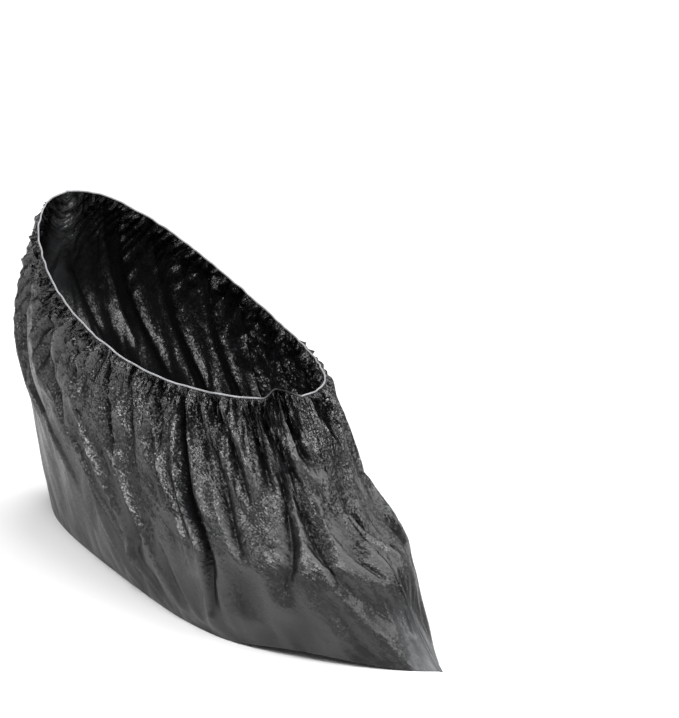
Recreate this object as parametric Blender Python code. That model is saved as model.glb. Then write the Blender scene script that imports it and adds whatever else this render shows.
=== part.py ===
"""Disposable shoe cover: a folded, end-welded bag of thin film with an elastic round its mouth.

Metres, +Z up, toe towards +X, the wearer's left towards +Y. The origin is on the inner sole,
where the wearer's heel stands.
"""

from math import cos, pi, sin

import bmesh
import bpy
import numpy as np

# The foot of the bag
COVER_LENGTH = 0.368  # sole, from the foot of the heel seam to the tip of the toe seam
BALL_WIDTH = 0.120  # sole, across the ball of the foot
HEEL_WIDTH = 0.069  # sole, across the heel
SEAT_SETBACK = 0.068  # from the foot of the heel seam forward to the heel's seat, the origin
TOE_LEAN = 0.022  # how far the toe's tip leans to the inner side of the foot
TOE_SPRING = 0.005  # how far the sole lifts under the toes
SPRING_START = 0.70  # where the lift begins, a share of the sole's length

# The mouth
MOUTH_LENGTH = 0.254
MOUTH_WIDTH = 0.110
MOUTH_SETBACK = 0.003  # how far the mouth's back end stands in front of the heel seam's foot
HEEL_HEIGHT = 0.186
SIDE_HEIGHT = 0.139
FRONT_HEIGHT = 0.128

# Film and elastic
FILM_WALL = 0.0014
ELASTIC_DIAMETER = 0.0017
ELASTIC_CLEARANCE = 0.0003
SEAM_THICKNESS = 2 * FILM_WALL  # both films welded together
SEAM_WIDTH = 0.0028  # the welded margin, from a seam's edge to the hollow
FOLD_DEPTH = 0.0075
GATHER_DEPTH = 0.0017
GATHERS_A_SIDE = 21

# Where gathers and folds begin and fade out, as shares of the way down or of the way along
GATHER_START = 0.06
GATHER_FADE = 0.16
FOLD_START = 0.12
SOLE_FADE = 0.15  # folds are gone over this last stretch above the sole's edge
SEAM_FADE = 0.06  # and over this stretch beside each seam

# Closed loops of film from the rim down to the sole's edge. A loop's height is a share of the
# rim's above it. toe_reach is the share of the way from the mouth's front to the toe's tip,
# back_out a share of COVER_LENGTH, side_out of BALL_WIDTH. sole_mix is 0 for the mouth's plan
# and 1 for the sole's. A high heel_square or toe_square makes a blunt end, and a high toe_point a
# pointed toe.
SECTIONS = (
    # down, side_height, toe_height, toe_reach, back_out, sole_mix, side_out, heel_square,
    # toe_square, toe_point
    (0.00, 1.00, 1.00, 0.000, 0.000, 0.00, 0.000, 2.2, 2.0, 0.50),  # rim
    (0.12, 0.88, 0.85, 0.120, 0.026, 0.10, 0.030, 2.4, 2.0, 0.50),  # below the gathers
    (0.35, 0.65, 0.53, 0.380, 0.056, 0.35, 0.060, 2.8, 2.2, 0.54),  # ankle
    (0.60, 0.40, 0.37, 0.675, 0.020, 0.65, 0.055, 3.6, 2.4, 0.60),  # instep
    (0.80, 0.18, 0.195, 0.825, 0.008, 0.90, 0.030, 4.4, 2.5, 0.70),  # over the toes
    (1.00, 0.00, 0.00, 1.000, 0.000, 1.00, 0.000, 5.0, 2.5, 0.90),  # edge of the sole
)

# Long folds that fall from the gathers. along and width are shares of the way from the heel seam
# to the toe seam, drift how far along the fold runs on its way down, depth a share of FOLD_DEPTH,
# outwards if positive. A fold is deepest at middle, a share of the way down, over its reach.
OUTER_FOLDS = (
    # along, width, drift, depth, middle, reach
    (0.115, 0.022, 0.10, -0.60, 0.30, 0.30),
    (0.200, 0.026, 0.12, 0.55, 0.30, 0.34),
    (0.262, 0.020, 0.10, -0.75, 0.28, 0.30),
    (0.340, 0.030, 0.06, 0.50, 0.36, 0.34),
    (0.405, 0.022, 0.04, -0.70, 0.34, 0.30),
    (0.478, 0.026, 0.03, 0.70, 0.30, 0.32),
    (0.522, 0.018, 0.03, -1.00, 0.36, 0.38),
    (0.580, 0.026, 0.05, 0.85, 0.26, 0.34),
    (0.640, 0.020, 0.04, -0.85, 0.34, 0.36),
    (0.705, 0.026, 0.06, 0.80, 0.26, 0.28),
    (0.765, 0.020, 0.05, -0.80, 0.42, 0.34),
    (0.830, 0.026, 0.02, 0.60, 0.28, 0.26),
    (0.885, 0.020, 0.01, -0.70, 0.34, 0.28),
)
INNER_FOLDS = (
    (0.130, 0.024, 0.10, -0.60, 0.32, 0.30),
    (0.215, 0.028, 0.10, 0.55, 0.30, 0.32),
    (0.300, 0.022, 0.08, -0.80, 0.30, 0.34),
    (0.385, 0.028, 0.05, 0.65, 0.32, 0.34),
    (0.450, 0.020, 0.04, -0.80, 0.32, 0.30),
    (0.525, 0.026, 0.04, 0.75, 0.28, 0.32),
    (0.590, 0.020, 0.04, -0.90, 0.36, 0.36),
    (0.660, 0.026, 0.05, 0.75, 0.28, 0.30),
    (0.725, 0.020, 0.05, -0.80, 0.36, 0.32),
    (0.800, 0.026, 0.03, 0.65, 0.28, 0.28),
    (0.870, 0.020, 0.02, -0.65, 0.34, 0.28),
)

# How finely the film is drawn
ROWS_DOWN = (0.0, 0.035, 0.08, 0.14, 0.22, 0.33, 0.46, 0.60, 0.74, 0.86, 0.95, 1.0)
STATIONS = 84
SOLE_STRIPS = 4
ELASTIC_POINTS = 96
ELASTIC_SIDES = 6
SLOPE_STEP = 0.004  # between the two places that a slope is measured at
SEAM_SEARCH = 1201  # places looked at along the bag to find where the hollow ends

OUTER_SIDE, INNER_SIDE = -1, 1
SOLE_FULLNESS = 1.08  # makes the plan's widest place as wide as the named widths
OUTER_BALL = 0.15  # how much wider the sole is on its outer side at the ball than on its inner
OUTER_BULGE = 0.40  # how much more the film stands out on the outer side


def smooth_rows(knots, values, places):
    """Natural cubic curve through the knots: the bend at each knot solves one small system."""
    knots, values = np.array(knots), np.array(values)
    gaps = np.diff(knots)
    slopes = np.diff(values) / gaps
    count = len(knots)
    system, right = np.eye(count), np.zeros(count)
    for row in range(1, count - 1):
        before, after = gaps[row - 1], gaps[row]
        system[row, row - 1 : row + 2] = before, 2 * (before + after), after
        right[row] = 6 * (slopes[row] - slopes[row - 1])
    bends = np.linalg.solve(system, right)
    low = np.clip(np.searchsorted(knots, places) - 1, 0, count - 2)
    gap = gaps[low]
    near = (knots[low + 1] - places) / gap
    far = 1 - near
    bow = (near**3 - near) * bends[low] + (far**3 - far) * bends[low + 1]
    return near * values[low] + far * values[low + 1] + bow * gap**2 / 6


def sole_centre(x_share):
    """The sole's middle line leans inwards towards the toe."""
    return TOE_LEAN * np.clip(x_share, 0, 1.2) ** 5


def sole_lift(x_share):
    """The sole rises under the toes and comes back down at the tip, in one smooth wave."""
    wave = np.clip((x_share - SPRING_START) / (1 - SPRING_START), 0, 1)
    return TOE_SPRING * np.sin(pi * wave) ** 2


def smooth_form(along, down, side):
    """The bag's outer face without folds. along is 0 at the heel seam and 1 at the toe seam."""
    columns = list(zip(*SECTIONS))
    loops = [smooth_rows(columns[0], column, down) for column in columns[1:]]
    side_height, toe_height, toe_reach, back_out, sole_mix, side_out = loops[:6]
    heel_square, toe_square, toe_point = loops[6:]
    turn = np.cos(pi * along)
    toe = (1 - turn) / 2
    heel = 1 - toe
    back = MOUTH_SETBACK * (1 - down) - back_out * COVER_LENGTH
    mouth_front = MOUTH_LENGTH + MOUTH_SETBACK
    front = mouth_front * (1 - toe_reach) + COVER_LENGTH * toe_reach
    x = back * heel + front * toe

    tilt = (HEEL_HEIGHT - FRONT_HEIGHT) / 2
    dip = (HEEL_HEIGHT + FRONT_HEIGHT) / 2 - SIDE_HEIGHT
    rim_height = SIDE_HEIGHT + tilt * turn + dip * turn**2
    share = side_height * (1 - toe**3) + toe_height * toe**3

    front_half = turn < 0
    squareness = np.where(front_half, toe_square, heel_square)
    pointedness = np.where(front_half, toe_point, 0.5)
    plan = np.clip(1 - np.abs(turn) ** squareness, 0, 1) ** pointedness
    sole_half = SOLE_FULLNESS * (HEEL_WIDTH * heel + BALL_WIDTH * toe) / 2
    sole_half = sole_half * (1 - side * OUTER_BALL * toe)
    bulge = side_out * BALL_WIDTH * (1 - side * OUTER_BULGE)
    half = MOUTH_WIDTH / 2 * (1 - sole_mix) + sole_half * sole_mix + bulge
    half = np.maximum(half * plan, SEAM_THICKNESS / 2)

    x_share = x / COVER_LENGTH
    y = sole_centre(x_share) + side * half
    z = rim_height * share + down * sole_lift(x_share) - FILM_WALL
    return np.stack([x - SEAT_SETBACK, y, z], axis=-1)


def outward(along, down, side):
    """Unit normal of the smooth form, from its slopes along the bag and down it."""
    ahead = smooth_form(np.minimum(along + SLOPE_STEP, 1), down, side)
    behind = smooth_form(np.maximum(along - SLOPE_STEP, 0), down, side)
    below = smooth_form(along, np.minimum(down + SLOPE_STEP, 1), side)
    above = smooth_form(along, np.maximum(down - SLOPE_STEP, 0), side)
    normal = np.cross(ahead - behind, below - above) * np.asarray(side)[..., None]
    return normal / np.maximum(np.linalg.norm(normal, axis=-1, keepdims=True), 1e-12)


def fold_depth(along, down, side):
    """How far the folds stand out: fine gathers under the rim and long folds further down."""
    near_seams = np.clip(np.minimum(along, 1 - along) / SEAM_FADE, 0, 1)
    gathers = np.cos(2 * pi * GATHERS_A_SIDE * along) * np.exp(-down / GATHER_FADE)
    depth = GATHER_DEPTH * gathers * np.clip(down / GATHER_START, 0, 1)
    for place, width, drift, height, middle, reach in OUTER_FOLDS if side < 0 else INNER_FOLDS:
        across = (along - place - drift * down) / width
        downwards = (down - middle) / reach
        ridge = np.exp(-(across**2)) * np.clip(1 - downwards**2, 0, 1)
        depth = depth + FOLD_DEPTH * height * ridge * np.clip(down / FOLD_START, 0, 1)
    return depth * near_seams * np.clip((1 - down) / SOLE_FADE, 0, 1)


def outer_face(along, down, side):
    depth = fold_depth(along, down, side)[..., None]
    return smooth_form(along, down, side) + depth * outward(along, down, side)


def inner_face(along, down, side):
    """The outer face moved inwards by the wall, and never below the inner sole."""
    depth = (fold_depth(along, down, side) - FILM_WALL)[..., None]
    face = smooth_form(along, down, side) + depth * outward(along, down, side)
    floor = sole_lift((face[..., 0] + SEAT_SETBACK) / COVER_LENGTH)
    face[..., 2] = np.where(down > 0.999, floor, np.maximum(face[..., 2], floor))
    return face


def hollow_ends(down):
    """Where the inner faces of both sides meet at the heel seam and at the toe seam."""
    fine = np.linspace(0, 1, SEAM_SEARCH)
    places, rows = np.meshgrid(fine, down, indexing="ij")
    first, last = np.zeros(len(down)), np.ones(len(down))
    for side in (OUTER_SIDE, INNER_SIDE):
        face = inner_face(places, rows, side)
        middle = sole_centre((face[..., 0] + SEAT_SETBACK) / COVER_LENGTH)
        clear = side * (face[..., 1] - middle) > 0
        for end in (0, -1):
            seam = outer_face(places[[end]], rows[[end]], side)
            margin = np.hypot(face[..., 0] - seam[..., 0], face[..., 2] - seam[..., 2])
            clear &= margin > SEAM_WIDTH
        first = np.maximum(first, fine[clear.argmax(axis=0)])
        last = np.minimum(last, fine[len(fine) - 1 - clear[::-1].argmax(axis=0)])
    return first, last


def section_grid(face, first, last):
    """Points of all sections: down one side, under the foot and up the other side."""
    down = np.array(ROWS_DOWN)
    steps = np.linspace(0, 1, STATIONS + 1)[:, None]
    along = first[None, :] + (last - first)[None, :] * steps
    rows = np.broadcast_to(down, along.shape)
    walls = {side: face(along, rows, side) for side in (OUTER_SIDE, INNER_SIDE)}
    across = np.linspace(0, 1, SOLE_STRIPS + 1)[1:-1][None, :, None]
    left, right = walls[OUTER_SIDE][:, -1:, :], walls[INNER_SIDE][:, -1:, :]
    sole = left * (1 - across) + right * across
    return np.concatenate([walls[OUTER_SIDE], sole, walls[INNER_SIDE][:, ::-1]], axis=1)


def grid_faces(start, columns, rows, flip=False):
    """Quads of a grid of points that is stored column by column."""
    corner = start + np.arange(columns - 1)[:, None] * rows + np.arange(rows - 1)[None, :]
    corner = corner.ravel()
    quads = np.stack([corner, corner + rows, corner + rows + 1, corner + 1], axis=1)
    return (quads[:, ::-1] if flip else quads).tolist()


def closed_mesh(name, points, faces):
    """A mesh whose doubled points are merged and whose faces all point outwards."""
    mesh = bpy.data.meshes.new(name)
    mesh.from_pydata(points.tolist(), [], faces)
    work = bmesh.new()
    work.from_mesh(mesh)
    bmesh.ops.remove_doubles(work, verts=work.verts, dist=0.000001)
    bmesh.ops.triangulate(work, faces=work.faces)
    bmesh.ops.recalc_face_normals(work, faces=work.faces)
    work.to_mesh(mesh)
    work.free()
    mesh.shade_smooth()
    mesh.set_sharp_from_angle(angle=pi / 4)
    return mesh


def material(name, colour, roughness):
    finish = bpy.data.materials.new(name)
    finish.use_nodes = True
    shader = finish.node_tree.nodes["Principled BSDF"]
    shader.inputs["Base Color"].default_value = (*colour, 1)
    shader.inputs["Roughness"].default_value = roughness
    shader.inputs["Metallic"].default_value = 0.0
    return finish


def add_object(mesh, finish):
    mesh.materials.append(finish)
    piece = bpy.data.objects.new(mesh.name, mesh)
    bpy.context.collection.objects.link(piece)
    return piece


def film_body():
    """The bag: outer and inner faces joined at the rim, closed at both seams."""
    down = np.array(ROWS_DOWN)
    outer = section_grid(outer_face, np.zeros(len(down)), np.ones(len(down)))
    inner = section_grid(inner_face, *hollow_ends(down))
    # both sides of the hollow meet in one line at each seam
    for end in (0, -1):
        inner[end] = (inner[end] + inner[end, ::-1]) / 2
        inner[end, len(down) :-len(down)] = inner[end, len(down) - 1]
    columns, rows = outer.shape[:2]
    faces = grid_faces(0, columns, rows) + grid_faces(columns * rows, columns, rows, flip=True)
    points = [outer.reshape(-1, 3), inner.reshape(-1, 3)]

    # the edge of each seam, between the outer faces of both sides
    count = 2 * columns * rows
    across = np.linspace(0, 1, SOLE_STRIPS + 1)[None, :, None]
    for end in (0, -1):
        one_side, other_side = outer[end, : len(down)], outer[end, ::-1][: len(down)]
        edge = one_side[:, None] * (1 - across) + other_side[:, None] * across
        faces += grid_faces(count, len(down), SOLE_STRIPS + 1)
        points.append(edge.reshape(-1, 3))
        count += edge.shape[0] * edge.shape[1]

    # the rim, a strip between the outer and the inner face all round the mouth
    for row in (0, -1):
        for station in range(STATIONS):
            pair = (outer[station, row], outer[station + 1, row])
            pair += (inner[station + 1, row], inner[station, row])
            points.append(np.array(pair))
            faces.append([count, count + 1, count + 2, count + 3])
            count += 4
    for end in (0, -1):
        edge = [outer[end, 0] * (1 - step) + outer[end, -1] * step for step in across.ravel()]
        points.append(np.array(edge + [inner[end, 0]]))
        tip = count + len(edge)
        faces += [[count + step, count + step + 1, tip] for step in range(SOLE_STRIPS)]
        count = tip + 1
    return closed_mesh("film_body", np.concatenate(points), faces)


def elastic_band():
    """A closed ring that stands on the film's rim, a clearance away from it."""
    steps = (np.arange(ELASTIC_POINTS) + 0.5) / ELASTIC_POINTS * 2
    side = np.where(steps < 1, OUTER_SIDE, INNER_SIDE)
    along = np.where(steps < 1, steps, 2 - steps)
    rim, below = np.zeros_like(along), np.full_like(along, 0.01)
    normal = outward(along, rim, side)
    edge = smooth_form(along, rim, side)
    upwards = edge - smooth_form(along, below, side)
    upwards /= np.linalg.norm(upwards, axis=-1, keepdims=True)
    radius = ELASTIC_DIAMETER / 2
    centre = edge - normal * FILM_WALL / 2 + upwards * (radius + ELASTIC_CLEARANCE)

    sides = [2 * pi * number / ELASTIC_SIDES for number in range(ELASTIC_SIDES)]
    rings = [centre + radius * (cos(turn) * normal + sin(turn) * upwards) for turn in sides]
    points = np.stack(rings, axis=1)
    closed = np.concatenate([points, points[:, :1]], axis=1)
    closed = np.concatenate([closed, closed[:1]], axis=0)
    faces = grid_faces(0, closed.shape[0], closed.shape[1])
    return closed_mesh("elastic_band", closed.reshape(-1, 3), faces)


for leftover in list(bpy.data.objects):
    bpy.data.objects.remove(leftover)

black_film = material("black_film", (0.035, 0.036, 0.038), 0.35)
grey_elastic = material("grey_elastic", (0.45, 0.45, 0.46), 0.7)
add_object(film_body(), black_film)
add_object(elastic_band(), grey_elastic)
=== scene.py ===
# %% [markdown]
# # A disposable shoe cover
#
# The real thing is a bag of very thin black film. One sheet is folded along the sole, its two
# ends are welded into a heel seam and a toe seam, and an elastic thread gathers the open edge.
# Worn over a boot it is nothing but folds, so nearly all the work here is in one surface: a
# smooth form first, then the long folds, then crinkles that come from film with no room to lie
# flat.

# %% Load the frame
from math import cos, pi, radians, sin

import bpy
import numpy as np
from mathutils import Matrix, Vector


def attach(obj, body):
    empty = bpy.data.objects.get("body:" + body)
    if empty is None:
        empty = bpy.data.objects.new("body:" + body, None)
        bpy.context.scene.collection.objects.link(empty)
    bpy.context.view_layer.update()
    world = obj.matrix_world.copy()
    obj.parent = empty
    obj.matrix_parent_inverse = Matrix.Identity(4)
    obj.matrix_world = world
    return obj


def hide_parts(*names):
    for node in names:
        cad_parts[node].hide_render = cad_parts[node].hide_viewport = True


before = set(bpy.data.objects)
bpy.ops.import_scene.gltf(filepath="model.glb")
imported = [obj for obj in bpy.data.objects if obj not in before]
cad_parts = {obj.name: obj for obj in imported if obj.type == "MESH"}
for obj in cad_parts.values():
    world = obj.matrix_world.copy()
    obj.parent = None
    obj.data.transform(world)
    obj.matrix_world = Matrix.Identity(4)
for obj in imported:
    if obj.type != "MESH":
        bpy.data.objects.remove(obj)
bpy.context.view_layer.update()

print("frame nodes:", sorted(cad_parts))

# %% [markdown]
# ## The sizes of the worn bag
#
# All sizes are in metres. The origin is on the inner sole at the heel, the toe points along +X
# and +Y is the inner side of this foot. These are the frame's own driving sizes, so the film
# drawn here lies where the frame's film lies.

# %% Sizes
COVER_LENGTH = 0.368  # the sole, from the foot of the heel seam to the tip of the toe seam
BALL_WIDTH = 0.120
HEEL_WIDTH = 0.069
SEAT_SETBACK = 0.068  # from the foot of the heel seam forward to the origin
TOE_LEAN = 0.022
TOE_SPRING = 0.005
SPRING_START = 0.70
MOUTH_LENGTH = 0.254
MOUTH_WIDTH = 0.110
MOUTH_SETBACK = 0.003
HEEL_HEIGHT = 0.186
SIDE_HEIGHT = 0.139
FRONT_HEIGHT = 0.128
SOLE_FULLNESS = 1.08
OUTER_BALL = 0.15
OUTER_BULGE = 0.40
OUTER_SIDE, INNER_SIDE = -1, 1
FLOOR_LEVEL = -0.0014  # the underside of the sole, a wall of the frame's film below the seat
FILM_SHOWN = 0.0004  # the real film is 0.05 mm, drawn thicker so that its edge still shows
TOE_WELD = 0.0016  # how wide both films lie welded together at the toe
HEEL_WELD = 0.0030
TOE_WELD_START, TOE_WELD_STRETCH, TOE_WELD_LEAST = 0.45, 0.30, 0.2  # it widens on the way down
HEEL_WELD_STRETCH, HEEL_WELD_LEAST = 0.15, 0.3

SECTIONS = (
    # down, side_height, toe_height, toe_reach, back_out, sole_mix, side_out, heel_square,
    # toe_square, toe_point
    (0.00, 1.00, 1.00, 0.000, 0.000, 0.00, 0.000, 2.2, 2.0, 0.50),  # rim
    (0.12, 0.88, 0.85, 0.120, 0.026, 0.10, 0.030, 2.4, 2.0, 0.50),  # below the gathers
    (0.35, 0.65, 0.53, 0.380, 0.056, 0.35, 0.060, 2.8, 2.2, 0.54),  # ankle
    (0.60, 0.40, 0.37, 0.675, 0.020, 0.65, 0.055, 3.6, 2.4, 0.60),  # instep
    (0.80, 0.18, 0.195, 0.825, 0.008, 0.90, 0.030, 4.4, 2.5, 0.70),  # over the toes
    (1.00, 0.00, 0.00, 1.000, 0.000, 1.00, 0.000, 5.0, 2.5, 0.90),  # edge of the sole
)
print("sections from rim to sole:", len(SECTIONS))

# %% [markdown]
# ## One smooth form
#
# Every point of the film has two addresses: how far *along* the bag it lies, from 0 at the heel
# seam to 1 at the toe seam, and how far *down* it lies, from 0 at the rim to 1 at the edge of the
# sole. A short table gives the shape of six loops, a natural cubic curve runs through them, and
# everything is worked out for the whole grid at once.

# %% A smooth curve through the rows of a table
def smooth_rows(knots, values, places):
    """Natural cubic curve: between two knots the value is a straight mix of both plus
    (w^3 - w) * bend * gap^2 / 6 for each end's weight w. The bends solve one small system."""
    knots, values = np.array(knots), np.array(values)
    gaps = np.diff(knots)
    slopes = np.diff(values) / gaps
    count = len(knots)
    system, right = np.eye(count), np.zeros(count)
    for row in range(1, count - 1):
        before, after = gaps[row - 1], gaps[row]
        system[row, row - 1 : row + 2] = before, 2 * (before + after), after
        right[row] = 6 * (slopes[row] - slopes[row - 1])
    bends = np.linalg.solve(system, right)
    low = np.clip(np.searchsorted(knots, places) - 1, 0, count - 2)
    gap = gaps[low]
    near = (knots[low + 1] - places) / gap
    far = 1 - near
    bow = (near**3 - near) * bends[low] + (far**3 - far) * bends[low + 1]
    return near * values[low] + far * values[low + 1] + bow * gap**2 / 6


downs, side_heights = list(zip(*SECTIONS))[:2]
half_way = float(smooth_rows(downs, side_heights, 0.5))
print("half way down, the sides stand at", round(half_way, 3), "of the rim's height")

# %% The sole's own lines
def sole_centre(x_share):
    """y = TOE_LEAN * share^5: the middle line leans inwards towards the toe."""
    return TOE_LEAN * np.clip(x_share, 0, 1.2) ** 5


def sole_lift(x_share):
    """z = TOE_SPRING * sin^2 over the front part: up under the toes, down again at the tip."""
    wave = np.clip((x_share - SPRING_START) / (1 - SPRING_START), 0, 1)
    return TOE_SPRING * np.sin(pi * wave) ** 2


print("the toe leans by", round(float(sole_centre(1.0)), 3), "m")

# %% The smooth form
def smooth_form(along, down, side):
    """x runs from the back to the front as (1 - cos(pi * along)) / 2. The half width is the
    loop's own width times (1 - |cos|^square)^point, which is 0 in the welds at both ends. z is
    the rim's height times the loop's share of it."""
    columns = list(zip(*SECTIONS))
    loops = [smooth_rows(columns[0], column, down) for column in columns[1:]]
    side_height, toe_height, toe_reach, back_out, sole_mix, side_out = loops[:6]
    heel_square, toe_square, toe_point = loops[6:]
    turn = np.cos(pi * along)
    toe = (1 - turn) / 2
    heel = 1 - toe
    back = MOUTH_SETBACK * (1 - down) - back_out * COVER_LENGTH
    mouth_front = MOUTH_LENGTH + MOUTH_SETBACK
    front = mouth_front * (1 - toe_reach) + COVER_LENGTH * toe_reach
    x = back * heel + front * toe

    tilt = (HEEL_HEIGHT - FRONT_HEIGHT) / 2
    dip = (HEEL_HEIGHT + FRONT_HEIGHT) / 2 - SIDE_HEIGHT
    rim_height = SIDE_HEIGHT + tilt * turn + dip * turn**2
    share = side_height * (1 - toe**3) + toe_height * toe**3

    front_half = turn < 0
    low = np.clip((down - TOE_WELD_START) / TOE_WELD_STRETCH, TOE_WELD_LEAST, 1)
    heel_weld = HEEL_WELD * np.clip(down / HEEL_WELD_STRETCH, HEEL_WELD_LEAST, 1)
    weld = np.where(front_half, TOE_WELD * low, heel_weld)
    reach = np.clip(np.abs(turn) / (1 - 2 * weld / (front - back)), 0, 1)
    squareness = np.where(front_half, toe_square, heel_square)
    pointedness = np.where(front_half, toe_point, 0.5)
    plan = (1 - reach**squareness) ** pointedness
    sole_half = SOLE_FULLNESS * (HEEL_WIDTH * heel + BALL_WIDTH * toe) / 2
    sole_half = sole_half * (1 - side * OUTER_BALL * toe)
    bulge = side_out * BALL_WIDTH * (1 - side * OUTER_BULGE)
    half = MOUTH_WIDTH / 2 * (1 - sole_mix) + sole_half * sole_mix + bulge
    half = np.maximum(half * plan, FILM_SHOWN)

    x_share = x / COVER_LENGTH
    y = sole_centre(x_share) + side * half
    z = rim_height * share + down * sole_lift(x_share) + FLOOR_LEVEL
    return np.stack([x - SEAT_SETBACK, y, z], axis=-1)


# %% Directions on a grid of points
def unit(vectors):
    return vectors / np.maximum(np.linalg.norm(vectors, axis=-1, keepdims=True), 1e-12)


def directions(grid, side):
    """Unit vectors along the bag, down it and out of it, from the slopes of the grid itself."""
    ahead = unit(np.gradient(grid, axis=0))
    below = unit(np.gradient(grid, axis=1))
    outwards = unit(np.cross(ahead, below) * side)
    return ahead, below, outwards


COLUMNS = 397
WALL_ROWS = 102
SOLE_ROWS = 17
ROW_CROWDING = 1.18  # rows lie closer under the rim
along_shares = np.linspace(0, 1, COLUMNS)
down_shares = np.linspace(0, 1, WALL_ROWS) ** ROW_CROWDING
ALONG, DOWN = np.meshgrid(along_shares, down_shares, indexing="ij")
smooth_wall = {side: smooth_form(ALONG, DOWN, side) for side in (OUTER_SIDE, INNER_SIDE)}
print("grid of each side:", ALONG.shape)

# %% [markdown]
# ## Long folds
#
# The elastic draws the film's edge together, and the spare width falls from there in long folds.
# Each is a row of a table: three places on the bag joined by a smooth curve, and a height and a
# width in millimetres. A valley has a negative height. The film is pushed out or in by
# height * exp(-(distance / width)^1.3), which leaves a sharp crest, and each fold fades at both
# its ends.

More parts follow.
